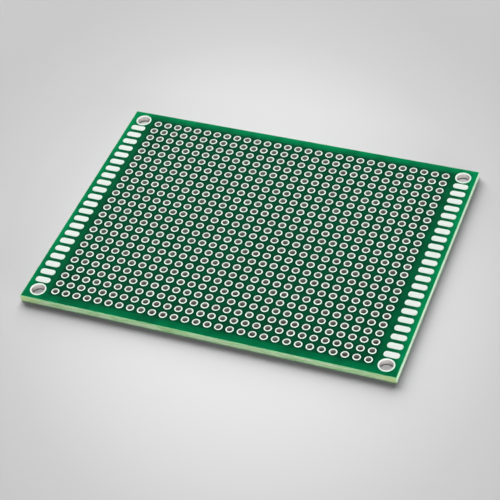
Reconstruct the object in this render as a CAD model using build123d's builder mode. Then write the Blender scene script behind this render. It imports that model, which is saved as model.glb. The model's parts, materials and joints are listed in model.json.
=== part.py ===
from build123d import *
import os

# A double-sided prototype board: a drilled laminate, a solder mask film on each face, tinned
# edge pads along the two short ends and a plated eyelet in each corner.
# The origin is at the middle of the underside, X along the long side, Y to the back, Z up.

# Driving sizes, in mm
PITCH = 2.54
COLUMNS = 29
ROWS = 24
LEAD_HOLE_DIAMETER = 1.24
LAND_DIAMETER = 1.86
CORE_THICKNESS = 1.54
MASK_THICKNESS = 0.03
TIN_THICKNESS = 0.06
EDGE_PAD_LENGTH = 3.42
EDGE_PAD_WIDTH = 1.6
EDGE_PAD_CORNER_SHARE = 0.42
MOUNT_HOLE_DIAMETER = 2.95
MOUNT_LAND_WIDTH = 0.325
BARREL_WALL = 0.05
LIP_SHARE = 0.5
MASK_CLEARANCE = 0.05
LAND_TO_PAD_GAP = 1.525
LAND_TO_MOUNT_GAP = 1.21
PAD_TO_MOUNT_GAP = 0.365
RIM = 1.065

# Heights: the tinned faces stand proud of the mask on both sides
CORE_BOTTOM = TIN_THICKNESS
CORE_TOP = CORE_BOTTOM + CORE_THICKNESS
TOP = CORE_TOP + TIN_THICKNESS

# The grid of lead holes, and the pads that carry on its rows between the corner eyelets
GRID_HALF_X = PITCH * (COLUMNS - 1) / 2
GRID_HALF_Y = PITCH * (ROWS - 1) / 2
PAD_ROWS = ROWS - 2
PAD_HALF_Y = PITCH * (PAD_ROWS - 1) / 2
LAND_EDGE_X = GRID_HALF_X + LAND_DIAMETER / 2
LAND_EDGE_Y = GRID_HALF_Y + LAND_DIAMETER / 2
PAD_X = LAND_EDGE_X + LAND_TO_PAD_GAP + EDGE_PAD_LENGTH / 2
PAD_CORNER = EDGE_PAD_WIDTH * EDGE_PAD_CORNER_SHARE

# The corner eyelets stand beyond the end pads, and the board's outline follows from both
MOUNT_RADIUS = MOUNT_HOLE_DIAMETER / 2
BARREL_RADIUS = MOUNT_RADIUS + BARREL_WALL
MOUNT_LAND_RADIUS = MOUNT_RADIUS + MOUNT_LAND_WIDTH
MOUNT_X = LAND_EDGE_X + LAND_TO_MOUNT_GAP + MOUNT_LAND_RADIUS
MOUNT_Y = PAD_HALF_Y + EDGE_PAD_WIDTH / 2 + PAD_TO_MOUNT_GAP + MOUNT_LAND_RADIUS
BOARD_LENGTH = 2 * (max(PAD_X + EDGE_PAD_LENGTH / 2, MOUNT_X + MOUNT_LAND_RADIUS) + RIM)
BOARD_WIDTH = 2 * (max(LAND_EDGE_Y, MOUNT_Y + MOUNT_LAND_RADIUS) + RIM)

SIDES = {"left": -1, "right": 1}
ENDS = {"front": -1, "back": 1}


def export(piece, name):
    """Label a finished piece and write its STEP file."""
    piece.part.label = name
    export_step(piece.part, f"parts/{name}.step")


def make_laminate():
    """The glass epoxy panel, drilled for the leads and for the corner eyelets."""
    with BuildPart() as laminate:
        with BuildSketch(Plane.XY.offset(CORE_BOTTOM)):
            Rectangle(BOARD_LENGTH, BOARD_WIDTH)
            with GridLocations(PITCH, PITCH, COLUMNS, ROWS):
                Circle(LEAD_HOLE_DIAMETER / 2, mode=Mode.SUBTRACT)
            with GridLocations(2 * MOUNT_X, 2 * MOUNT_Y, 2, 2):
                Circle(BARREL_RADIUS, mode=Mode.SUBTRACT)
        extrude(amount=CORE_THICKNESS, clean=False)
    export(laminate, "laminate")


def make_mask(face, bottom):
    """The solder mask of one face, with a window over each land, pad and eyelet."""
    with BuildPart() as mask:
        with BuildSketch(Plane.XY.offset(bottom)):
            Rectangle(BOARD_LENGTH, BOARD_WIDTH)
            with GridLocations(PITCH, PITCH, COLUMNS, ROWS):
                Circle(LAND_DIAMETER / 2, mode=Mode.SUBTRACT)
            with GridLocations(2 * PAD_X, PITCH, 2, PAD_ROWS):
                RectangleRounded(
                    EDGE_PAD_LENGTH + 2 * MASK_CLEARANCE,
                    EDGE_PAD_WIDTH + 2 * MASK_CLEARANCE,
                    PAD_CORNER + MASK_CLEARANCE,
                    mode=Mode.SUBTRACT,
                )
            with GridLocations(2 * MOUNT_X, 2 * MOUNT_Y, 2, 2):
                Circle(MOUNT_LAND_RADIUS + MASK_CLEARANCE, mode=Mode.SUBTRACT)
        extrude(amount=MASK_THICKNESS, clean=False)
    export(mask, f"solder_mask_{face}")


def make_edge_pads(side, face, bottom):
    """The row of tinned pads along one short end, on one face."""
    with BuildPart() as pads:
        with BuildSketch(Plane.XY.offset(bottom)):
            with Locations((SIDES[side] * PAD_X, 0)):
                with GridLocations(PITCH, PITCH, 1, PAD_ROWS):
                    RectangleRounded(EDGE_PAD_LENGTH, EDGE_PAD_WIDTH, PAD_CORNER)
        extrude(amount=TIN_THICKNESS)
    export(pads, f"edge_pads_{side}_{face}")


def make_eyelet(end, side):
    """A corner eyelet: the plated barrel with a land on each face, its mouths slightly rounded."""
    centre = (SIDES[side] * MOUNT_X, ENDS[end] * MOUNT_Y, 0)
    with BuildPart() as eyelet:
        with BuildSketch(Plane(origin=centre, x_dir=(1, 0, 0), z_dir=(0, -1, 0))):
            with Locations((MOUNT_RADIUS, 0)):
                Rectangle(BARREL_WALL, TOP, align=(Align.MIN, Align.MIN))
                Rectangle(MOUNT_LAND_WIDTH, TIN_THICKNESS, align=(Align.MIN, Align.MIN))
            with Locations((MOUNT_RADIUS, CORE_TOP)):
                Rectangle(MOUNT_LAND_WIDTH, TIN_THICKNESS, align=(Align.MIN, Align.MIN))
        revolve(axis=Axis(centre, (0, 0, 1)))
        mouths = eyelet.edges().filter_by(GeomType.CIRCLE).filter_by(
            lambda edge: abs(edge.radius - MOUNT_RADIUS) < BARREL_WALL / 2
        )
        fillet(mouths, BARREL_WALL * LIP_SHARE)
    export(eyelet, f"mounting_eyelet_{end}_{side}")


os.makedirs("parts", exist_ok=True)
make_laminate()
make_mask("bottom", CORE_BOTTOM - MASK_THICKNESS)
make_mask("top", CORE_TOP)
for side in SIDES:
    make_edge_pads(side, "bottom", 0)
    make_edge_pads(side, "top", CORE_TOP)
    for end in ENDS:
        make_eyelet(end, side)
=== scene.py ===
import json
import logging
import math
from dataclasses import dataclass
from enum import Enum
from typing import Any

import bmesh
import bpy
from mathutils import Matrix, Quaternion, Vector

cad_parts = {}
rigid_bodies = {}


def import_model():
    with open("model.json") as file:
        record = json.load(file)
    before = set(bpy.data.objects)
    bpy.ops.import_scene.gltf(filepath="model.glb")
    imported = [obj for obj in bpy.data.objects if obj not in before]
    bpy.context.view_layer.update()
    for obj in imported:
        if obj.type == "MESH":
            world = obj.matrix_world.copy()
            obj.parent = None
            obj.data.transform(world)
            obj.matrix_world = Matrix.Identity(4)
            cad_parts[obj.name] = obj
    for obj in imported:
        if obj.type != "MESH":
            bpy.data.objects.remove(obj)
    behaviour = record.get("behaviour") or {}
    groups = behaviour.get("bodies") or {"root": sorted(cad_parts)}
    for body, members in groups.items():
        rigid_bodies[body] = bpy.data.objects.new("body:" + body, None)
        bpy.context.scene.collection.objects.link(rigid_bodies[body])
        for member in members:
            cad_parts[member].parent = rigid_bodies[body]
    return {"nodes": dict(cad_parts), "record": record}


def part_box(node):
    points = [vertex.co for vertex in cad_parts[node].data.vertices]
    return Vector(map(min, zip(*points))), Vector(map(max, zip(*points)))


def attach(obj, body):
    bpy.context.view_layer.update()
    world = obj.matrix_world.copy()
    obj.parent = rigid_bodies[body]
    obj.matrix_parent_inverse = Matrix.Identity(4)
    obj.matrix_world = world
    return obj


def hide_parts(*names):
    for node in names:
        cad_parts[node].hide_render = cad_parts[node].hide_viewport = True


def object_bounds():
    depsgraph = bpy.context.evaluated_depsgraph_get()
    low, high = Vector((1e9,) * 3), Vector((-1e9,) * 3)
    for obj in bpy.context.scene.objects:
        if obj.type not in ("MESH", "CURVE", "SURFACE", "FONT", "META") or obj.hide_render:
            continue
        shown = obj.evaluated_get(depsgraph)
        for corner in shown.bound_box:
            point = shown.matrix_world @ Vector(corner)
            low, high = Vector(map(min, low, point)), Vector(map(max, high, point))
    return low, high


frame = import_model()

CAD_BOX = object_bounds()
BODY = "root"
MM = 0.001
PITCH = 2.54 * MM
WINDOW_RADIUS = 0.93 * MM
PAD_CORNER_SHARE = 0.42
SHARP_ANGLE = math.radians(40)
NOISE_MEAN = 0.5

Colour = tuple[float, float, float]
Span = tuple[float, float]
Socket = Any

log = logging.getLogger("prototype_board")


class Kind(Enum):
    """The kinds of piece in the scene, by how the names of their pieces start."""

    LAMINATE = "laminate"
    SOLDER_MASK = "solder_mask"
    EDGE_PADS = "edge_pads"
    LEAD_HOLES = "lead_hole"
    EYELETS = "mounting_eyelet"
    FLOOR = "floor"


class Face(Enum):
    """The two faces of the board."""

    TOP = "top"
    BOTTOM = "bottom"


class End(Enum):
    """The two short ends of the board."""

    LEFT = "left"
    RIGHT = "right"


@dataclass(frozen=True)
class BoardSizes:
    """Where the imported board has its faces, its outline and its grid of holes, in metres."""

    half_length: float
    half_width: float
    core_bottom: float
    core_top: float
    top: float
    first_hole: Vector
    last_hole: Vector
    hole_radius: float
    grid_fade: Span = (0.4 * PITCH, 0.6 * PITCH)

    @classmethod
    def read(cls, record: dict[str, Any]) -> "BoardSizes":
        """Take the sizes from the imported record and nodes.

        Args:
            record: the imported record, whose mounts give the first and the last lead hole.

        Returns:
            The sizes of this board.
        """
        mounts = {mount["name"]: mount for mount in record["mounts"]}
        core_low, core_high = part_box("laminate")
        return cls(
            half_length=core_high.x,
            half_width=core_high.y,
            core_bottom=core_low.z,
            core_top=core_high.z,
            top=CAD_BOX[1].z,
            first_hole=Vector(mounts["first_lead_hole"]["pos_m"]),
            last_hole=Vector(mounts["last_lead_hole"]["pos_m"]),
            hole_radius=mounts["first_lead_hole"]["dims"]["r_mm"] * MM,
        )

    @property
    def columns(self) -> int:
        """How many lead holes stand along the board."""
        return round((self.last_hole.x - self.first_hole.x) / PITCH) + 1

    @property
    def rows(self) -> int:
        """How many lead holes stand across the board."""
        return round((self.last_hole.y - self.first_hole.y) / PITCH) + 1

    @property
    def pads(self) -> int:
        """How many pads stand along a short end, which has none at the first and the last row."""
        return self.rows - 2

    def pad_width(self, low: Vector, high: Vector) -> float:
        """The width of one pad of the row that fills the box from low to high."""
        return high.y - low.y - (self.pads - 1) * PITCH

    def rim_distance(self, shader: "Shader") -> Socket:
        """How far a point lies inside the board's outline."""
        x, y, _ = shader.split(shader.position())
        from_end = shader.math("SUBTRACT", self.half_length, shader.math("ABSOLUTE", x))
        from_side = shader.math("SUBTRACT", self.half_width, shader.math("ABSOLUTE", y))
        return shader.math("MINIMUM", from_end, from_side)

    def hole_distance(self, shader: "Shader") -> Socket:
        """How far a point lies from the middle of the nearest place of the hole grid."""
        x, y, _ = shader.split(shader.position())
        across = shader.math("PINGPONG", shader.math("SUBTRACT", x, self.first_hole.x), PITCH / 2)
        along = shader.math("PINGPONG", shader.math("SUBTRACT", y, self.first_hole.y), PITCH / 2)
        return shader.away(across, along)

    def grid_share(self, shader: "Shader") -> Socket:
        """1 among the lead holes, 0 outside their grid."""
        x, y, _ = shader.split(shader.position())
        past_x = shader.math("SUBTRACT", shader.math("ABSOLUTE", x), self.last_hole.x)
        past_y = shader.math("SUBTRACT", shader.math("ABSOLUTE", y), self.last_hole.y)
        return shader.ease(shader.math("MAXIMUM", past_x, past_y), *self.grid_fade, 1.0, 0.0)


@dataclass(frozen=True)
class Grain:
    """An unevenness: the width and height of its features in metres, and how finely it breaks up."""

    width: float
    height: float
    detail: float = 3.0
    roughness: float = 0.5


class Shader:
    """A material's node tree, with short calls for the nodes that the finishes share."""

    def __init__(self, name: str) -> None:
        """Start an empty material.

        Args:
            name: the material's name.
        """
        self.material = bpy.data.materials.new(name)
        self.material.use_nodes = True
        self.tree = self.material.node_tree
        self.tree.nodes.clear()

    def node(self, kind: str, feeds: dict[Any, Any] | None = None, **settings: Any) -> Any:
        """Add a node.

        Args:
            kind: the node's type.
            feeds: for each input, a value or the socket that is linked to it.
            settings: the node's own options.

        Returns:
            The new node.
        """
        made = self.tree.nodes.new(kind)
        for name, value in settings.items():
            setattr(made, name, value)
        for key, value in (feeds or {}).items():
            if isinstance(value, bpy.types.NodeSocket):
                self.tree.links.new(value, made.inputs[key])
            else:
                made.inputs[key].default_value = value
        return made

    def position(self) -> Socket:
        """The point of the surface, in the board's frame."""
        return self.node("ShaderNodeTexCoord").outputs["Object"]

    def split(self, vector: Socket) -> list[Socket]:
        """The three parts of a vector."""
        return list(self.node("ShaderNodeSeparateXYZ", {0: vector}).outputs)

    def math(self, operation: str, *values: Any) -> Socket:
        """The result of one Math node."""
        feeds = dict(enumerate(values))
        return self.node("ShaderNodeMath", feeds, operation=operation).outputs[0]

    def away(self, x: Socket, y: Socket) -> Socket:
        """The length of the flat vector (x, y)."""
        flat = self.node("ShaderNodeCombineXYZ", {0: x, 1: y}).outputs[0]
        return self.node("ShaderNodeVectorMath", {0: flat}, operation="LENGTH").outputs["Value"]

    def ease(
        self, value: Socket, low: float, high: float, start: float = 0.0, end: float = 1.0,
    ) -> Socket:
        """Run smoothly from one level to another.

        Args:
            value: what the step reads.
            low: where the step begins.
            high: where the step is done.
            start: the level before the step.
            end: the level after it.

        Returns:
            The level.
        """
        feeds = {"Value": value, "From Min": low, "From Max": high, "To Min": start, "To Max": end}
        made = self.node("ShaderNodeMapRange", feeds, interpolation_type="SMOOTHSTEP")
        return made.outputs["Result"]

    def noise(self, grain: Grain) -> Socket:
        """Noise in the board's frame.

        Args:
            grain: the size of its features and how finely they break up.

        Returns:
            The noise, from 0 to 1.
        """
        mapping = self.node("ShaderNodeMapping", {
            "Vector": self.position(),
            "Scale": (1 / grain.width, 1 / grain.width, 1 / grain.height),
        })
        return self.node("ShaderNodeTexNoise", {
            "Vector": mapping.outputs[0],
            "Scale": 1.0,
            "Detail": grain.detail,
            "Roughness": grain.roughness,
        }).outputs[0]

    def mix(self, share: Any, first: Any, second: Any) -> Socket:
        """Blend two colours.

        Args:
            share: how much of the second colour shows.
            first: a colour or a socket.
            second: a colour or a socket.

        Returns:
            The blend.
        """
        made = self.node("ShaderNodeMix", data_type="RGBA")
        for index, value in ((0, share), (6, first), (7, second)):
            if isinstance(value, bpy.types.NodeSocket):
                self.tree.links.new(value, made.inputs[index])
            else:
                made.inputs[index].default_value = value if index == 0 else (*value, 1.0)
        return made.outputs[2]

    def bump(self, height: Socket, depth: float, strength: float) -> Socket:
        """A normal that follows a height.

        Args:
            height: the height, from 0 to 1.
            depth: what a height of 1 stands for, in metres.
            strength: how much of it shows.

        Returns:
            The normal.
        """
        feeds = {"Height": height, "Distance": depth, "Strength": strength}
        return self.node("ShaderNodeBump", feeds).outputs[0]

    def surface(self, feeds: dict[str, Any]) -> bpy.types.Material:
        """Close the material with its surface shader.

        Args:
            feeds: the shader's inputs.

        Returns:
            The finished material.
        """
        shader = self.node("ShaderNodeBsdfPrincipled", feeds)
        output = self.node("ShaderNodeOutputMaterial")
        self.tree.links.new(shader.outputs[0], output.inputs["Surface"])
        return self.material


@dataclass(frozen=True)
class MaskFinish:
    """Green solder mask: bright along the board's rim as painted light, darker along the front as
    painted shade, deeper inside and darkest beside the lands; its worn rim carries a painted highlight.
    """

    sizes: BoardSizes
    # painted light: a brighter colour for the band along the rim, as light glowing through
    glowing_rim_band: Colour = (0.0004, 0.236, 0.079)
    # painted shade: a darker copy of the rim band's colour along the front side
    shaded_front_border: Colour = (0.0004, 0.163, 0.057)
    inner: Colour = (0.0010, 0.103, 0.037)
    among_lands: Colour = (0.0008, 0.076, 0.029)
    beside_land: Colour = (0.0020, 0.032, 0.015)
    # worn film along the rim, brightened by a painted highlight where the back and sides catch the
    # light; the front copy is painted shaded
    worn_rim_highlight: Colour = (0.30, 0.80, 0.48)
    shaded_front_rim: Colour = (0.21, 0.68, 0.31)
    painted_glow_span: Span = (0.2 * MM, 2.8 * MM)
    front_shade_reach: float = 7.0 * MM
    halo_width: float = 0.52 * MM
    halo_share: float = 0.85
    cloud_grain: Grain = Grain(4.0 * MM, 4.0 * MM, 4.0)
    cloud_span: Span = (0.35, 0.75)
    cloud_share: float = 0.42
    rim_width: float = 0.11 * MM
    front_rim_width: float = 0.19 * MM
    bare_rim_share: float = 0.4
    chip_grain: Grain = Grain(1.4 * MM, 1.4 * MM)
    chip_span: Span = (0.25, 0.6)
    least_wear: float = 0.35
    peel_grain: Grain = Grain(0.5 * MM, 0.5 * MM, 2.0)
    peel_depth: float = 0.02 * MM
    peel_strength: float = 0.25
    gloss: float = 0.01
    roughness_span: Span = (0.2, 0.8)
    roughness: Span = (0.28, 0.42)

    def past_front_shade(self, shader: Shader) -> Socket:
        """0 at the front side of the board, where painted shade darkens the film, 1 past that strip of
        painted shade.
        """
        _, y, _ = shader.split(shader.position())
        front = -self.sizes.half_width
        return shader.ease(y, front, front + self.front_shade_reach)

    def halo(self, shader: Shader) -> Socket:
        """How much the film darkens beside a land of the grid."""
        edge = WINDOW_RADIUS
        away = self.sizes.hole_distance(shader)
        dark = shader.ease(away, edge, edge + self.halo_width, self.halo_share, 0.0)
        return shader.math("MULTIPLY", dark, self.sizes.grid_share(shader))

    def wear(self, shader: Shader, inside: Socket, back: Socket) -> Socket:
        """How much of the film is worn off along the outline: in chips, and wider at the front.

        Args:
            shader: the material that is being made.
            inside: how far the point lies inside the outline.
            back: 0 at the front side, 1 past its strip of painted shade.

        Returns:
            The share that is worn off.
        """
        loss = self.rim_width - self.front_rim_width
        width = shader.math("MULTIPLY_ADD", back, loss, self.front_rim_width)
        rim = shader.ease(shader.math("DIVIDE", inside, width), self.bare_rim_share, 1.0, 1.0, 0.0)
        chips = shader.ease(shader.noise(self.chip_grain), *self.chip_span, self.least_wear, 1.0)
        return shader.math("MULTIPLY", rim, chips)

    def material(self) -> bpy.types.Material:
        """Make the finish.

        Returns:
            The mask's material.
        """
        shader = Shader("solder_mask_green")
        inside = self.sizes.rim_distance(shader)
        back = self.past_front_shade(shader)
        # painted shade: the rim band darkens towards the front side
        glowing_rim_band = shader.mix(back, self.shaded_front_border, self.glowing_rim_band)
        # painted light: the film brightens towards the board's rim
        colour = shader.mix(shader.ease(inside, *self.painted_glow_span), glowing_rim_band, self.inner)
        colour = shader.mix(self.sizes.grid_share(shader), colour, self.among_lands)
        colour = shader.mix(self.halo(shader), colour, self.beside_land)
        cloud = shader.noise(self.cloud_grain)
        clouded = shader.ease(cloud, *self.cloud_span, 0.0, self.cloud_share)
        colour = shader.mix(clouded, colour, self.beside_land)
        # painted highlight and shade: the worn rim is lit along the back and sides and shaded along the
        # front
        bared_painted_light = shader.mix(back, self.shaded_front_rim, self.worn_rim_highlight)
        peel = shader.noise(self.peel_grain)
        return shader.surface({
            "Base Color": shader.mix(self.wear(shader, inside, back), colour, bared_painted_light),
            "Roughness": shader.ease(cloud, *self.roughness_span, *self.roughness),
            "Specular IOR Level": self.gloss,
            "Normal": shader.bump(peel, self.peel_depth, self.peel_strength),
        })


@dataclass(frozen=True)
class LaminateFinish:
    """Glass epoxy: streaky pale green along its cut sides, paler at the short ends as painted light,
    darkened at their foot by painted shade, and dark with painted shade where the mask's windows bare
    it.
    """

    sizes: BoardSizes
    resin: Colour = (0.29, 0.53, 0.23)
    fibre: Colour = (0.49, 0.725, 0.43)
    bundle: Colour = (0.61, 0.71, 0.53)
    corner: Colour = (0.52, 0.67, 0.29)
    # painted light: paler copies of the cut side's colours for the short ends
    lit_end_cut: Colour = (0.69, 0.90, 0.71)
    lit_end_resin: Colour = (0.56, 0.79, 0.57)
    # painted shade: the dark colour at the foot of the cut sides
    foot: Colour = (0.085, 0.200, 0.085)
    # painted shade: the laminate exposed in the mask's windows is dark, as a shadowed gap
    bared_painted_light: Colour = (0.08, 0.27, 0.16)
    bared_shade_span: Span = (0.02 * MM, 0.08 * MM)
    layer_grain: Grain = Grain(2.8 * MM, 0.34 * MM, 4.0, 0.6)
    layer_span: Span = (0.36, 0.64)
    bundle_grain: Grain = Grain(4.4 * MM, 0.26 * MM, 2.0)
    bundle_span: Span = (0.50, 0.64)
    bundle_share: float = 0.9
    corner_reach: float = 7.0 * MM
    corner_share: float = 0.8
    end_depth: float = 0.05 * MM
    end_light_share: float = 0.9
    foot_shade_span: Span = (-0.05 * MM, 0.36 * MM)
    foot_shade_wander: float = 0.55 * MM
    foot_shade_grain: Grain = Grain(0.7 * MM, 0.5 * MM)
    end_foot_shade_loss: float = 0.65
    weave_grain: Grain = Grain(1.2 * MM, 0.12 * MM, 5.0, 0.62)
    weave_depth: float = 0.12 * MM
    weave_strength: float = 0.6
    gloss: float = 0.2
    roughness_span: Span = (0.2, 0.8)
    roughness: Span = (0.55, 0.8)

    def foot_shade_share(self, shader: Shader, height: Socket, at_end: Socket) -> Socket:
        """How much painted shade darkens the foot of a cut side: uneven, and weaker at the short ends.

        Args:
            shader: the material that is being made.
            height: the height of the point.
            at_end: how far the point belongs to a short end.

        Returns:
            The share of the foot's painted shade.
        """
        shade_wobble = shader.math("SUBTRACT", shader.noise(self.foot_shade_grain), NOISE_MEAN)
        uneven = shader.math("ADD", height, shader.math("MULTIPLY", shade_wobble, self.foot_shade_wander))
        foot = shader.ease(uneven, *self.foot_shade_span, 1.0, 0.0)
        paler = shader.math("MULTIPLY_ADD", at_end, -self.end_foot_shade_loss, 1.0)
        return shader.math("MULTIPLY", foot, paler)

    def cut_side(self, shader: Shader) -> Socket:
        """Colour the sawn sides: streaks along the cloth, yellower by the corners, paler at the short
        ends as painted light, dark at the foot as painted shade.

        Args:
            shader: the material that is being made.

        Returns:
            The colour.
        """
        x, _, z = shader.split(shader.position())
        from_end = shader.math("SUBTRACT", self.sizes.half_length, shader.math("ABSOLUTE", x))
        streaks = shader.ease(shader.noise(self.layer_grain), *self.layer_span)
        colour = shader.mix(streaks, self.resin, self.fibre)
        bundles = shader.noise(self.bundle_grain)
        bundled = shader.ease(bundles, *self.bundle_span, 0.0, self.bundle_share)
        colour = shader.mix(bundled, colour, self.bundle)
        near_corner = shader.ease(from_end, 0.0, self.corner_reach, self.corner_share, 0.0)
        colour = shader.mix(near_corner, colour, self.corner)
        # painted light: the short ends take the paler colours
        at_end = shader.ease(from_end, 0.0, self.end_depth, self.end_light_share, 0.0)
        colour = shader.mix(at_end, colour, shader.mix(streaks, self.lit_end_resin, self.lit_end_cut))
        # painted shade darkens the foot of each cut side
        return shader.mix(self.foot_shade_share(shader, z, at_end), colour, self.foot)

    def material(self) -> bpy.types.Material:
        """Make the finish.

        Returns:
            The laminate's material.
        """
        shader = Shader("glass_epoxy")
        # painted shade on the faces that the mask's windows expose, away from the cut sides
        bared_painted_light = shader.ease(self.sizes.rim_distance(shader), *self.bared_shade_span)
        weave = shader.noise(self.weave_grain)
        return shader.surface({
            "Base Color": shader.mix(bared_painted_light, self.cut_side(shader), self.bared_painted_light),
            "Roughness": shader.ease(weave, *self.roughness_span, *self.roughness),
            "Specular IOR Level": self.gloss,
            "Normal": shader.bump(weave, self.weave_depth, self.weave_strength),
        })


@dataclass(frozen=True)
class TinFinish:
    """Hot-levelled tin: pale metal, half dulled, with a soft and slightly uneven sheen."""

    sizes: BoardSizes
    name: str
    bright: Colour = (0.785, 0.825, 0.785)
    warm: Colour = (0.770, 0.800, 0.760)
    metal_share: float = 0.5
    patch_grain: Grain = Grain(2.4 * MM, 2.4 * MM)
    patch_span: Span = (0.45, 0.75)
    patch_share: float = 0.7
    fine_grain: Grain = Grain(0.22 * MM, 0.22 * MM, 3.0, 0.6)
    fine_depth: float = 0.012 * MM
    fine_strength: float = 0.5
    roughness_span: Span = (0.25, 0.75)
    roughness: Span = (0.28, 0.48)

    def tone(self, shader: Shader, colour: Socket) -> Socket:
        """Leave the tin as it is; each kind of tinned piece has its own tones."""
        return colour

    def material(self) -> bpy.types.Material:
        """Make the finish.

        Returns:
            The tin's material.
        """
        shader = Shader(self.name)
        patches = shader.noise(self.patch_grain)
        warmed = shader.ease(patches, *self.patch_span, 0.0, self.patch_share)
        grain = shader.noise(self.fine_grain)
        return shader.surface({
            "Base Color": self.tone(shader, shader.mix(warmed, self.bright, self.warm)),
            "Metallic": self.metal_share,
            "Roughness": shader.ease(grain, *self.roughness_span, *self.roughness),
            "Normal": shader.bump(grain, self.fine_depth, self.fine_strength),
        })


@dataclass(frozen=True)
class PadTin(TinFinish):
    """The tin of an edge pad: bright, with a breath of the mask's green along its outline."""

    name: str = "bright_tin_pads"
    outline: Colour = (0.58, 0.96, 0.76)
    outline_width: float = 0.17 * MM

    def tone(self, shader: Shader, colour: Socket) -> Socket:
        """Tint the pad along its outline.

        Args:
            shader: the material that is being made.
            colour: the colour of the bright tin.

        Returns:
            The colour of pad and outline.
        """
        low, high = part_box("edge_pads_right_top")
        half_length = (high.x - low.x) / 2
        half_width = self.sizes.pad_width(low, high) / 2
        corner = 2 * half_width * PAD_CORNER_SHARE
        x, y, _ = shader.split(shader.position())
        middle = (low.x + high.x) / 2
        along = shader.math("ABSOLUTE", shader.math("SUBTRACT", shader.math("ABSOLUTE", x), middle))
        from_row = shader.math("SUBTRACT", y, self.sizes.first_hole.y)
        across = shader.math("PINGPONG", from_row, PITCH / 2)
        past_length = shader.math("SUBTRACT", along, half_length - corner)
        past_width = shader.math("SUBTRACT", across, half_width - corner)
        reach = shader.away(
            shader.math("MAXIMUM", past_length, 0.0), shader.math("MAXIMUM", past_width, 0.0),
        )
        fringe = shader.ease(reach, corner - self.outline_width, corner)
        return shader.mix(fringe, colour, self.outline)


@dataclass(frozen=True)
class LeadHoleTin(TinFinish):
    """The tin of a lead hole: bright on its lands, dull in the barrel and on the lip."""

    name: str = "bright_tin_lead_holes"
    bright: Colour = (0.77, 0.94, 0.84)
    warm: Colour = (0.755, 0.91, 0.81)
    barrel: Colour = (0.47, 0.465, 0.43)
    browned: Colour = (0.43, 0.39, 0.355)
    lip_width: float = 0.08 * MM
    tint_grain: Grain = Grain(2.2 * MM, 2.2 * MM, 1.0)
    tint_span: Span = (0.42, 0.60)

    def tone(self, shader: Shader, colour: Socket) -> Socket:
        """Dull the barrel and its lip.

        Args:
            shader: the material that is being made.
            colour: the colour of the lands.

        Returns:
            The colour of lands and barrel.
        """
        lip = self.sizes.hole_radius
        away = self.sizes.hole_distance(shader)
        inner = shader.ease(away, lip, lip + self.lip_width, 1.0, 0.0)
        tints = shader.ease(shader.noise(self.tint_grain), *self.tint_span)
        return shader.mix(inner, colour, shader.mix(tints, self.barrel, self.browned))


@dataclass(frozen=True)
class EyeletTin(TinFinish):
    """The tin of a corner eyelet: a bright ring on each face, a greyer wall and painted shade darkening
    the wall's foot.
    """

    name: str = "bright_tin_eyelets"
    bright: Colour = (0.70, 0.745, 0.71)
    warm: Colour = (0.68, 0.72, 0.685)
    metal_share: float = 0.0
    wall: Colour = (0.63, 0.60, 0.58)
    # painted shade: the dark colour at the foot of the wall
    foot: Colour = (0.045, 0.042, 0.038)
    foot_shade_span: Span = (0.20 * MM, 0.48 * MM)
    outline: Colour = (0.50, 0.88, 0.68)
    outline_width: float = 0.12 * MM

    def tone(self, shader: Shader, colour: Socket) -> Socket:
        """Tint the rings along their outlines, grey the wall between them and darken its foot with
        painted shade.

        Args:
            shader: the material that is being made.
            colour: the colour of the rings.

        Returns:
            The colour of rings and wall.
        """
        x, y, z = shader.split(shader.position())
        near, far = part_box("mounting_eyelet_back_right")
        middle, radius = (near + far) / 2, (far.x - near.x) / 2
        across = shader.math("SUBTRACT", shader.math("ABSOLUTE", x), middle.x)
        along = shader.math("SUBTRACT", shader.math("ABSOLUTE", y), middle.y)
        fringe = shader.ease(shader.away(across, along), radius - self.outline_width, radius)
        ring = shader.mix(fringe, colour, self.outline)
        # painted shade darkens the lower part of the wall
        wall = shader.mix(shader.ease(z, *self.foot_shade_span, 1.0, 0.0), self.wall, self.foot)
        low, high = self.sizes.core_bottom, self.sizes.core_top
        between = shader.math("COMPARE", z, (low + high) / 2, (high - low) / 2)
        return shader.mix(between, ring, wall)


class TinnedPiece:
    """A tinned mesh of the scene that rides with the board."""

    def __init__(self, name: str, tin: bpy.types.Material) -> None:
        """Open an empty mesh.

        Args:
            name: the piece's name.
            tin: its finish.
        """
        self.name = name
        self.tin = tin
        self.mesh = bmesh.new()

    def spin(self, section: list[Span], centre: Vector, segments: int) -> None:
        """Spin a closed section into a ring about an upright axis.

        Args:
            section: the radius and height of each corner of the section, in order.
            centre: a point of the axis.
            segments: how many steps the turn has.
        """
        corners = [self.mesh.verts.new((centre.x + radius, centre.y, z)) for radius, z in section]
        edges = [self.mesh.edges.new(pair) for pair in zip(corners, corners[1:] + corners[:1])]
        bmesh.ops.spin(
            self.mesh, geom=corners + edges, cent=centre, axis=(0, 0, 1),
            angle=math.tau, steps=segments, use_merge=True,
        )

    def shade(self) -> None:
        """Turn the faces outwards, smooth them and keep the sharp edges sharp."""
        bmesh.ops.recalc_face_normals(self.mesh, faces=self.mesh.faces)
        for face in self.mesh.faces:
            face.smooth = True
        for edge in self.mesh.edges:
            edge.smooth = edge.calc_face_angle(0.0) < SHARP_ANGLE

    def place(self, arrays: dict[str, tuple[int, Vector]]) -> bpy.types.Object:
        """Make the object, repeat it and let it ride with the board.

        Args:
            arrays: for each row of copies, how many there are and the step between them.

        Returns:
            The finished object.
        """
        self.shade()
        data = bpy.data.meshes.new(self.name)
        self.mesh.to_mesh(data)
        self.mesh.free()
        data.materials.append(self.tin)
        made = bpy.data.objects.new(self.name, data)
        bpy.context.scene.collection.objects.link(made)
        for title, (count, step) in arrays.items():
            copies = made.modifiers.new(title, "ARRAY")
            copies.count = count
            copies.use_relative_offset = False
            copies.use_constant_offset = True
            copies.constant_offset_displace = step
        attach(made, BODY)
        return made


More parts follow.
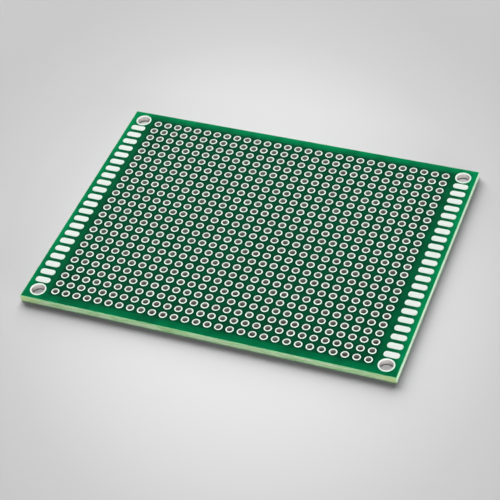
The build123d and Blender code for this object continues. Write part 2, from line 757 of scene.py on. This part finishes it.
@dataclass
class LeadHolePlating:
    """The tin of the lead holes: a barrel with a low domed land on each face, over the whole grid."""

    sizes: BoardSizes
    tin: bpy.types.Material
    land_radius: float = 0.92 * MM
    crown_radius: float = 0.87 * MM
    bore_radius: float = 0.60 * MM
    lip_drop: float = 0.02 * MM
    segments: int = 12

    def section(self) -> list[Span]:
        """Draw the wall of the plating.

        Returns:
            The radius and height of each corner, round the section.
        """
        sizes = self.sizes
        upper = [
            (sizes.hole_radius, sizes.core_top),
            (self.land_radius, sizes.core_top),
            (self.crown_radius, sizes.top),
            (self.bore_radius, sizes.top - self.lip_drop),
        ]
        lower = [(radius, sizes.top - z) for radius, z in reversed(upper)]
        return upper + lower

    def build(self) -> bpy.types.Object:
        """Spin one plated hole and repeat it over the grid.

        Returns:
            The finished piece.
        """
        piece = TinnedPiece("lead_hole_plating", self.tin)
        piece.spin(self.section(), self.sizes.first_hole, self.segments)
        return piece.place({
            "columns": (self.sizes.columns, Vector((PITCH, 0, 0))),
            "rows": (self.sizes.rows, Vector((0, PITCH, 0))),
        })


@dataclass
class EdgePads:
    """A row of tinned pads along one short end, each with rounded corners and a low crown."""

    sizes: BoardSizes
    tin: bpy.types.Material
    end: End
    face: Face
    corner_steps: int = 5
    shoulder_share: float = 0.8
    shoulder_inset: float = 0.07 * MM
    shoulder_rise: float = 0.7
    crown_inset: float = 0.28 * MM
    crown_rise: float = 0.3

    @property
    def node(self) -> str:
        """The name of the CAD row that these pads stand for."""
        return f"edge_pads_{self.end.value}_{self.face.value}"

    def shape(self, mesh: bmesh.types.BMesh, length: float, width: float, thickness: float) -> None:
        """Shape one upright pad about the origin, its foot at height 0.

        Args:
            mesh: the empty mesh that takes it.
            length: its size along the board.
            width: its size across the board.
            thickness: its height at the crown.
        """
        bmesh.ops.create_grid(mesh, x_segments=1, y_segments=1, size=0.5)
        bmesh.ops.scale(mesh, vec=(length, width, 1.0), verts=mesh.verts)
        bmesh.ops.bevel(
            mesh, geom=mesh.verts[:], offset=width * PAD_CORNER_SHARE, offset_type="OFFSET",
            segments=self.corner_steps, profile=0.5, affect="VERTICES", material=-1,
        )
        raised = bmesh.ops.extrude_face_region(mesh, geom=mesh.faces[:])["geom"]
        corners = [item for item in raised if isinstance(item, bmesh.types.BMVert)]
        top = [item for item in raised if isinstance(item, bmesh.types.BMFace)]
        shoulder = thickness * self.shoulder_share
        bmesh.ops.translate(mesh, vec=(0, 0, shoulder), verts=corners)
        rise = thickness - shoulder
        steps = ((self.shoulder_inset, self.shoulder_rise), (self.crown_inset, self.crown_rise))
        for inset, share in steps:
            bmesh.ops.inset_region(mesh, faces=top, thickness=inset, use_even_offset=True)
            inner = {corner for face in top for corner in face.verts}
            bmesh.ops.translate(mesh, vec=(0, 0, rise * share), verts=list(inner))

    def build(self) -> bpy.types.Object:
        """Put one pad in its place and repeat it along the end.

        Returns:
            The finished piece.
        """
        low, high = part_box(self.node)
        length, width = high.x - low.x, self.sizes.pad_width(low, high)
        piece = TinnedPiece(f"{self.node}_crowned", self.tin)
        mesh = piece.mesh
        self.shape(mesh, length, width, high.z - low.z)
        if self.face is Face.BOTTOM:
            bmesh.ops.scale(mesh, vec=(1, 1, -1), verts=mesh.verts)
        foot = low.z if self.face is Face.TOP else high.z
        place = Vector((low.x + length / 2, low.y + width / 2, foot))
        bmesh.ops.translate(mesh, vec=place, verts=mesh.verts)
        made = piece.place({"rows": (self.sizes.pads, Vector((0, PITCH, 0)))})
        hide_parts(self.node)
        return made


@dataclass
class Panel:
    """The carried-over pieces: the laminate, its two masks and the corner eyelets."""

    laminate: bpy.types.Material
    mask: bpy.types.Material
    tin: bpy.types.Material

    def dress(self) -> list[str]:
        """Give each carried-over node its finish, and keep the laminate's own glow off the floor.

        Returns:
            The names of the dressed nodes.
        """
        finishes = {
            Kind.LAMINATE: self.laminate,
            Kind.SOLDER_MASK: self.mask,
            Kind.EYELETS: self.tin,
        }
        dressed = []
        for name, node in frame["nodes"].items():
            for kind, material in finishes.items():
                if name.startswith(kind.value):
                    node.data.materials.clear()
                    node.data.materials.append(material)
                    node.visible_diffuse = kind is not Kind.LAMINATE
                    dressed.append(name)
        return dressed


def direction(azimuth: float, elevation: float) -> Vector:
    """Where something stands, seen from the board.

    Args:
        azimuth: how far round from the front to the right, in degrees.
        elevation: how far above the floor, in degrees.

    Returns:
        The direction, of length 1.
    """
    turn, lift = math.radians(azimuth), math.radians(elevation)
    flat = math.cos(lift)
    return Vector((math.sin(turn) * flat, -math.cos(turn) * flat, math.sin(lift)))


def keep_light_to(light: bpy.types.Object, kinds: tuple[Kind, ...]) -> None:
    """Let a light reach only some kinds of piece.

    Args:
        light: the light.
        kinds: the kinds of piece that it reaches.
    """
    starts = tuple(kind.value for kind in kinds)
    lit = bpy.data.collections.new(f"{light.name}_reaches")
    for piece in bpy.data.objects:
        if piece.name.startswith(starts):
            lit.objects.link(piece)
    light.light_linking.receiver_collection = lit


@dataclass(frozen=True)
class SoftBox:
    """A soft light that faces the board and isn't mirrored in it.

    Where reaches names kinds of piece, the light is kept to those.
    """

    name: str
    azimuth: float
    elevation: float
    distance: float
    width: float
    height: float
    level: float
    reaches: tuple[Kind, ...] = ()

    def place(self) -> bpy.types.Object:
        """Hang the light, so strong that a facing white card at the board shows its level.

        Returns:
            The light.
        """
        towards = direction(self.azimuth, self.elevation)
        data = bpy.data.lights.new(self.name, "AREA")
        data.shape = "RECTANGLE"
        data.size, data.size_y = self.width, self.height
        data.energy = (math.pi * self.distance) ** 2 * self.level
        light = bpy.data.objects.new(self.name, data)
        light.location = towards * self.distance
        light.rotation_mode = "QUATERNION"
        light.rotation_quaternion = (-towards).to_track_quat("-Z", "Y")
        light.visible_glossy = False
        bpy.context.scene.collection.objects.link(light)
        if self.reaches:
            keep_light_to(light, self.reaches)
        return light


@dataclass(frozen=True)
class EyeletPin:
    """A narrow light straight down through a corner eyelet, which brightens the floor seen in it."""

    node: str
    level: float
    height: float = 150.0 * MM
    spread: float = 2.4 * MM
    blend: float = 0.1
    bulb_radius: float = 1.0 * MM

    def place(self) -> bpy.types.Object:
        """Hang the light over its eyelet.

        Returns:
            The light.
        """
        low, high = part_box(self.node)
        data = bpy.data.lights.new(f"pin_{self.node}", "SPOT")
        data.energy = 4 * (math.pi * self.height) ** 2 * self.level
        data.spot_size = 2 * math.atan(self.spread / self.height)
        data.spot_blend = self.blend
        data.shadow_soft_size = self.bulb_radius
        light = bpy.data.objects.new(data.name, data)
        light.location = ((low.x + high.x) / 2, (low.y + high.y) / 2, self.height)
        light.visible_glossy = False
        bpy.context.scene.collection.objects.link(light)
        keep_light_to(light, (Kind.FLOOR,))
        return light


@dataclass(frozen=True)
class PhotoCamera:
    """The viewpoint of the photograph."""

    lens: float = 120.62
    sensor_width: float = 36.0
    clip_start: float = 0.01
    azimuth: float = 24.66
    elevation: float = 43.76
    roll: float = -6.21
    distance: float = 368.11 * MM
    aim: tuple[float, float, float] = (0.90 * MM, -5.61 * MM, 1.66 * MM)

    def place(self) -> bpy.types.Object:
        """Set the camera up and make it the scene's own.

        Returns:
            The camera.
        """
        back = direction(self.azimuth, self.elevation)
        data = bpy.data.cameras.new("photo_camera")
        data.lens = self.lens
        data.sensor_width = self.sensor_width
        data.clip_start = self.clip_start
        camera = bpy.data.objects.new("photo_camera", data)
        camera.location = Vector(self.aim) + back * self.distance
        camera.rotation_mode = "QUATERNION"
        roll = Quaternion((0, 0, 1), math.radians(self.roll))
        camera.rotation_quaternion = (-back).to_track_quat("-Z", "Y") @ roll
        bpy.context.scene.collection.objects.link(camera)
        bpy.context.scene.camera = camera
        return camera


@dataclass(frozen=True)
class Studio:
    """A pale floor with a painted pool of light that darkens away from the board, a soft key from behind
    and a low fill.

    A weaker twin of the key lights the cut sides and the eyelets, cards brighten the tin of the
    lead holes and of the eyelets, and pins brighten the floor that is seen through the eyelets.
    """

    camera: PhotoCamera = PhotoCamera()
    floor_half: float = 3.0
    # painted pool of light: the floor's tone by distance from the board
    light_pool_tones: tuple[Span, ...] = (
        (0.0, 0.84), (0.38, 0.80), (0.57, 0.69), (0.72, 0.61), (1.0, 0.52),
    )
    light_pool_reach: float = 77.0 * MM
    floor_roughness: float = 0.9
    ambient: float = 0.08
    horizon: float = 0.60
    zenith: float = 0.94
    front_pin: float = 0.30
    back_pin: float = 0.58
    lights: tuple[SoftBox, ...] = (
        SoftBox(
            "key", azimuth=209.0, elevation=24.0, distance=3.0, width=3.9, height=2.7, level=3.13,
            reaches=(Kind.SOLDER_MASK, Kind.EDGE_PADS, Kind.LEAD_HOLES, Kind.FLOOR),
        ),
        SoftBox(
            "side_key", azimuth=212.0, elevation=24.5, distance=2.0, width=2.2, height=1.65, level=1.25,
            reaches=(Kind.LAMINATE, Kind.EYELETS),
        ),
        SoftBox(
            "low_fill", azimuth=52.0, elevation=4.5, distance=1.2, width=0.8, height=0.18, level=0.95,
        ),
        SoftBox(
            "hole_card", azimuth=24.0, elevation=29.0, distance=1.5, width=0.9, height=0.5, level=0.55,
            reaches=(Kind.LEAD_HOLES,),
        ),
        SoftBox(
            "eyelet_card", azimuth=24.0, elevation=25.0, distance=1.5, width=0.9, height=0.5, level=0.60,
            reaches=(Kind.EYELETS,),
        ),
        SoftBox(
            "ring_card", azimuth=212.0, elevation=82.0, distance=1.5, width=0.6, height=0.6, level=0.52,
            reaches=(Kind.EYELETS,),
        ),
    )

    def floor_material(self) -> bpy.types.Material:
        """Paint a pool of light on the floor, palest round the board.

        Returns:
            The floor's material.
        """
        shader = Shader("studio_floor")
        centred = shader.node("ShaderNodeMapping", {
            "Vector": shader.position(),
            "Location": (-self.camera.aim[0], -self.camera.aim[1], 0.0),
        })
        turned = shader.node("ShaderNodeMapping", {
            "Vector": centred.outputs[0],
            "Rotation": (0.0, 0.0, -math.radians(self.camera.azimuth)),
        })
        right, ahead, _ = shader.split(turned.outputs[0])
        lift = math.sin(math.radians(self.camera.elevation))
        away = shader.away(right, shader.math("MULTIPLY", ahead, lift))
        # painted pool of light: the floor darkens with distance
        ramp = shader.node("ShaderNodeValToRGB", {0: shader.math("DIVIDE", away, self.light_pool_reach)})
        ramp.color_ramp.interpolation = "B_SPLINE"
        stops = ramp.color_ramp.elements
        for index, (place, tone) in enumerate(self.light_pool_tones):
            stop = stops[index] if index < 2 else stops.new(place)
            stop.position = place
            stop.color = (tone, tone, tone, 1.0)
        return shader.surface({
            "Base Color": ramp.outputs[0],
            "Roughness": self.floor_roughness,
            "Specular IOR Level": 0.0,
        })

    def lay_floor(self) -> bpy.types.Object:
        """Lay the floor under the board.

        Returns:
            The floor.
        """
        mesh = bmesh.new()
        bmesh.ops.create_grid(mesh, x_segments=1, y_segments=1, size=self.floor_half)
        data = bpy.data.meshes.new("floor")
        mesh.to_mesh(data)
        mesh.free()
        data.materials.append(self.floor_material())
        floor = bpy.data.objects.new("floor", data)
        bpy.context.scene.collection.objects.link(floor)
        return floor

    def fill_world(self) -> None:
        """Give the room a soft light, and a pale look to what sees it."""
        world = bpy.data.worlds.new("studio")
        world.use_nodes = True
        nodes, links = world.node_tree.nodes, world.node_tree.links
        path = nodes.new("ShaderNodeLightPath")
        seen = path.outputs["Is Camera Ray"]
        for ray in ("Is Glossy Ray", "Is Transmission Ray"):
            either = nodes.new("ShaderNodeMath")
            either.operation = "MAXIMUM"
            links.new(seen, either.inputs[0])
            links.new(path.outputs[ray], either.inputs[1])
            seen = either.outputs[0]
        place = nodes.new("ShaderNodeTexCoord")
        height = nodes.new("ShaderNodeSeparateXYZ")
        links.new(place.outputs["Generated"], height.inputs[0])
        look = nodes.new("ShaderNodeMapRange")
        look.inputs["To Min"].default_value = self.horizon
        look.inputs["To Max"].default_value = self.zenith
        links.new(height.outputs["Z"], look.inputs["Value"])
        strength = nodes.new("ShaderNodeMix")
        strength.inputs[2].default_value = self.ambient
        links.new(seen, strength.inputs[0])
        links.new(look.outputs["Result"], strength.inputs[3])
        background = nodes["Background"]
        background.inputs["Color"].default_value = (1.0, 1.0, 1.0, 1.0)
        links.new(strength.outputs[0], background.inputs["Strength"])
        bpy.context.scene.world = world

    def set_up(self) -> None:
        """Build the floor, the world, the lights and the camera."""
        self.lay_floor()
        self.fill_world()
        for light in self.lights:
            light.place()
        for name in frame["nodes"]:
            if name.startswith(Kind.EYELETS.value):
                EyeletPin(name, self.front_pin if "front" in name else self.back_pin).place()
        self.camera.place()
        bpy.context.scene.view_settings.view_transform = "Standard"


def main() -> None:
    """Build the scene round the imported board."""
    logging.basicConfig(level=logging.INFO, format="%(name)s: %(message)s")
    sizes = BoardSizes.read(frame["record"])
    pad_tin = PadTin(sizes).material()
    land_tin = LeadHoleTin(sizes).material()
    eyelet_tin = EyeletTin(sizes).material()
    panel = Panel(LaminateFinish(sizes).material(), MaskFinish(sizes).material(), eyelet_tin)
    for name in panel.dress():
        log.info("dressed %s", name)
    plating = LeadHolePlating(sizes, land_tin).build()
    log.info("built %s, %d columns and %d rows", plating.name, sizes.columns, sizes.rows)
    for end in End:
        for face in Face:
            log.info("built %s", EdgePads(sizes, pad_tin, end, face).build().name)
    Studio().set_up()
    log.info("set up the studio")


if __name__ == "__main__":
    main()
